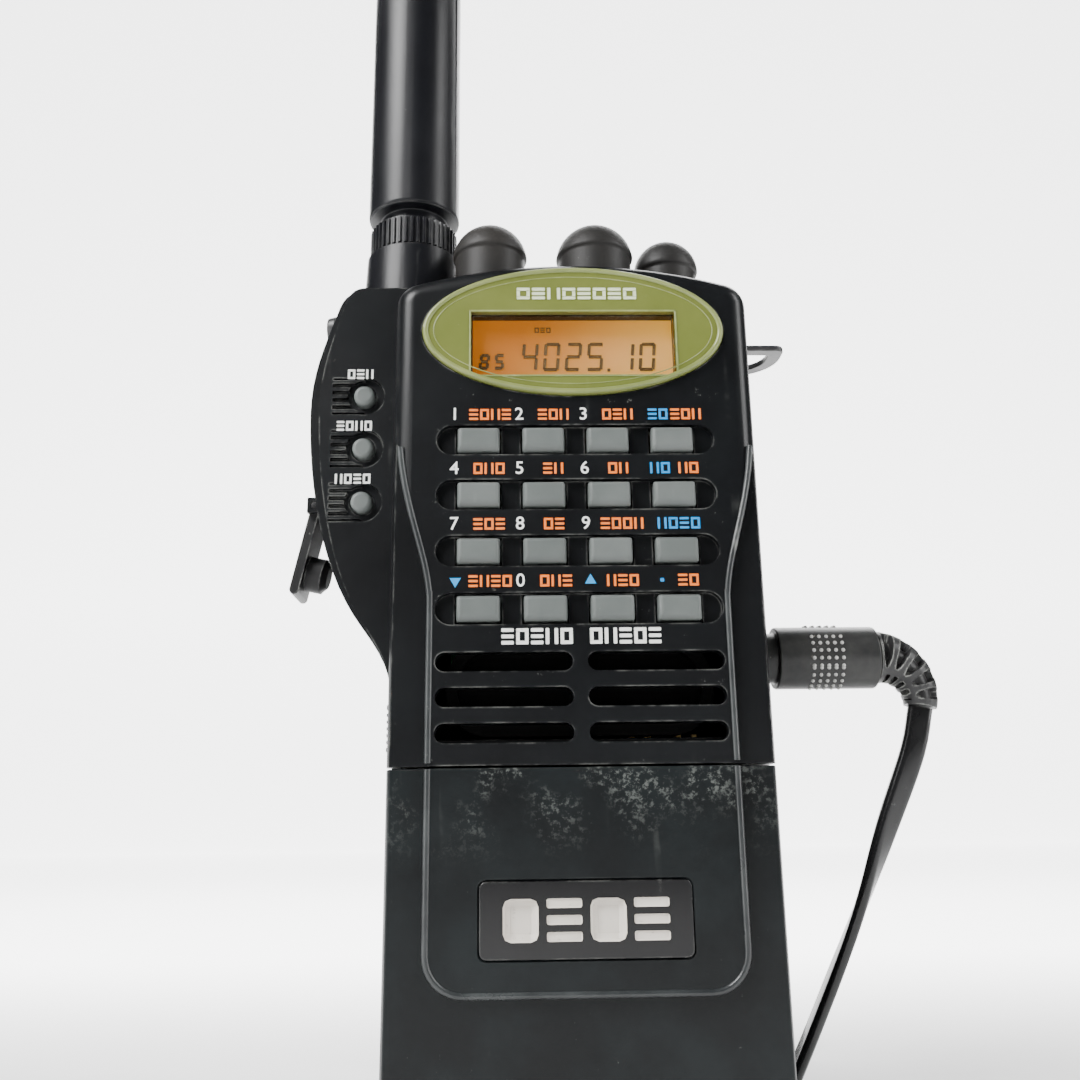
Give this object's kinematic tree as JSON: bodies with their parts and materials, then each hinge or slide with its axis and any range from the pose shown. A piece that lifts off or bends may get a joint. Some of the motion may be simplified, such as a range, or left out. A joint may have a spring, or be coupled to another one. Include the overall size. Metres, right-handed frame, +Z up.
{
  "type": "handheld radio scanner",
  "caption": "Handheld wide-band scanning receiver with keypad, lit display, top knobs, bayonet aerial, slide-off battery pack and a plugged-in supply cord.",
  "frame": {"origin": "centre of the battery pack's flat underside, on which the radio stands", "axes": "+Z up along the aerial, -Y out of the keypad, +X to the reader's right"},
  "size_m": [0.1008, 0.1227, 0.3004],
  "materials": {
    "case_plastic": "satin moulded black, scuffed",
    "bezel": "olive tinted panel",
    "window": "clear window",
    "lcd": "amber lit display",
    "backlight": "amber light plate",
    "membrane": "grey rubber",
    "board": "green laminate",
    "shield": "tinned",
    "speaker": "black",
    "steel": "plated",
    "nickel": "nickel plated",
    "socket_plastic": "black",
    "contact": "gold plated",
    "black_steel": "black finish",
    "key": "grey moulded",
    "knob": "dark grey rubber",
    "rubber": "black rubber",
    "coupling": "black knurled",
    "sleeve": "satin black rubber",
    "cell": "plain sleeve",
    "badge": "gloss black plate",
    "plug": "worn black vinyl",
    "cord": "black vinyl",
    "tie": "black"
  },
  "bodies": {
    "radio": {"front_case": "case_plastic", "rear_case": "case_plastic", "display_bezel": "bezel", "display_window": "window", "lcd_panel": "lcd", "backlight_plate": "backlight", "keypad_membrane": "membrane", "main_board": "board", "rf_board": "board", "rf_shield": "shield", "speaker": "speaker", "control_pots": "steel", "control_nuts": "steel", "antenna_jack": "nickel", "dc_jack": "socket_plastic", "audio_jacks": "socket_plastic", "base_plate": "case_plastic", "supply_contacts": "contact", "catch_spring": "steel", "screws": "steel", "belt_clip": "black_steel", "strap_lug": "black_steel", "strap_stud": "black_steel", "dc_plug": "plug", "dc_strain_relief": "plug", "cord_tube": "cord", "cord_coil": "cord", "cord_tie": "tie", "far_plug": "plug"},
    "key_1": {"key_1": "key"},
    "key_2": {"key_2": "key"},
    "key_3": {"key_3": "key"},
    "key_enter": {"key_enter": "key"},
    "key_4": {"key_4": "key"},
    "key_5": {"key_5": "key"},
    "key_6": {"key_6": "key"},
    "key_recall": {"key_recall": "key"},
    "key_7": {"key_7": "key"},
    "key_8": {"key_8": "key"},
    "key_9": {"key_9": "key"},
    "key_mode": {"key_mode": "key"},
    "key_down": {"key_down": "key"},
    "key_0": {"key_0": "key"},
    "key_up": {"key_up": "key"},
    "key_dot": {"key_dot": "key"},
    "button_clear": {"button_clear": "key"},
    "button_lamp": {"button_lamp": "key"},
    "button_monitor": {"button_monitor": "key"},
    "knob_volume": {"knob_volume": "knob"},
    "knob_squelch": {"knob_squelch": "knob"},
    "knob_tuning": {"knob_tuning": "knob"},
    "battery_catch": {"battery_catch": "case_plastic"},
    "jack_cover": {"jack_cover": "rubber"},
    "antenna": {"antenna_coupling": "coupling", "antenna_sleeve": "sleeve"},
    "battery": {"battery_case": "case_plastic", "battery_back": "case_plastic", "battery_cells": "cell", "battery_contacts": "contact", "badge_plate": "badge"}
  },
  "joints": [
    {"name": "key_1_press", "type": "slide", "parent": "radio", "child": "key_1", "axis": [0, 1, 0], "range_m": [0, 0.0008], "stiffness_N_per_m": 1200},
    {"name": "key_2_press", "type": "slide", "parent": "radio", "child": "key_2", "axis": [0, 1, 0], "range_m": [0, 0.0008], "stiffness_N_per_m": 1200},
    {"name": "key_3_press", "type": "slide", "parent": "radio", "child": "key_3", "axis": [0, 1, 0], "range_m": [0, 0.0008], "stiffness_N_per_m": 1200},
    {"name": "key_enter_press", "type": "slide", "parent": "radio", "child": "key_enter", "axis": [0, 1, 0], "range_m": [0, 0.0008], "stiffness_N_per_m": 1200},
    {"name": "key_4_press", "type": "slide", "parent": "radio", "child": "key_4", "axis": [0, 1, 0], "range_m": [0, 0.0008], "stiffness_N_per_m": 1200},
    {"name": "key_5_press", "type": "slide", "parent": "radio", "child": "key_5", "axis": [0, 1, 0], "range_m": [0, 0.0008], "stiffness_N_per_m": 1200},
    {"name": "key_6_press", "type": "slide", "parent": "radio", "child": "key_6", "axis": [0, 1, 0], "range_m": [0, 0.0008], "stiffness_N_per_m": 1200},
    {"name": "key_recall_press", "type": "slide", "parent": "radio", "child": "key_recall", "axis": [0, 1, 0], "range_m": [0, 0.0008], "stiffness_N_per_m": 1200},
    {"name": "key_7_press", "type": "slide", "parent": "radio", "child": "key_7", "axis": [0, 1, 0], "range_m": [0, 0.0008], "stiffness_N_per_m": 1200},
    {"name": "key_8_press", "type": "slide", "parent": "radio", "child": "key_8", "axis": [0, 1, 0], "range_m": [0, 0.0008], "stiffness_N_per_m": 1200},
    {"name": "key_9_press", "type": "slide", "parent": "radio", "child": "key_9", "axis": [0, 1, 0], "range_m": [0, 0.0008], "stiffness_N_per_m": 1200},
    {"name": "key_mode_press", "type": "slide", "parent": "radio", "child": "key_mode", "axis": [0, 1, 0], "range_m": [0, 0.0008], "stiffness_N_per_m": 1200},
    {"name": "key_down_press", "type": "slide", "parent": "radio", "child": "key_down", "axis": [0, 1, 0], "range_m": [0, 0.0008], "stiffness_N_per_m": 1200},
    {"name": "key_0_press", "type": "slide", "parent": "radio", "child": "key_0", "axis": [0, 1, 0], "range_m": [0, 0.0008], "stiffness_N_per_m": 1200},
    {"name": "key_up_press", "type": "slide", "parent": "radio", "child": "key_up", "axis": [0, 1, 0], "range_m": [0, 0.0008], "stiffness_N_per_m": 1200},
    {"name": "key_dot_press", "type": "slide", "parent": "radio", "child": "key_dot", "axis": [0, 1, 0], "range_m": [0, 0.0008], "stiffness_N_per_m": 1200},
    {"name": "button_clear_press", "type": "slide", "parent": "radio", "child": "button_clear", "axis": [0, 1, 0], "range_m": [0, 0.0007], "stiffness_N_per_m": 1200},
    {"name": "button_lamp_press", "type": "slide", "parent": "radio", "child": "button_lamp", "axis": [0, 1, 0], "range_m": [0, 0.0007], "stiffness_N_per_m": 1200},
    {"name": "button_monitor_press", "type": "slide", "parent": "radio", "child": "button_monitor", "axis": [0, 1, 0], "range_m": [0, 0.0007], "stiffness_N_per_m": 1200},
    {"name": "knob_volume_turn", "type": "hinge", "parent": "radio", "child": "knob_volume", "pos_m": [-0.0129, -0.008, 0.134], "axis": [0, 0, -1], "range_deg": [0, 290]},
    {"name": "knob_squelch_turn", "type": "hinge", "parent": "radio", "child": "knob_squelch", "pos_m": [0.0044, -0.008, 0.134], "axis": [0, 0, -1], "range_deg": [0, 290]},
    {"name": "knob_tuning_turn", "type": "hinge", "parent": "radio", "child": "knob_tuning", "pos_m": [0.01695, -0.003, 0.134], "axis": [0, 0, -1], "continuous": true},
    {"name": "battery_catch_slide", "type": "slide", "parent": "radio", "child": "battery_catch", "axis": [0, 0, 1], "range_m": [0, 0.002], "stiffness_N_per_m": 1500, "springref_m": -0.0005, "deforming": ["catch_spring"]},
    {"name": "jack_cover_hinge", "type": "hinge", "parent": "radio", "child": "jack_cover", "pos_m": [-0.0405, -0.001, 0.0981], "axis": [0, 1, 0], "range_deg": [-23, 95]},
    {"name": "antenna_lock", "type": "hinge", "parent": "radio", "child": "antenna", "pos_m": [-0.0262, -0.001, 0.134], "axis": [0, 0, 1], "range_deg": [0, 90]},
    {"name": "battery_slide", "type": "slide", "parent": "radio", "child": "battery", "axis": [-1, 0, 0], "range_m": [0, 0.04]}
  ]
}
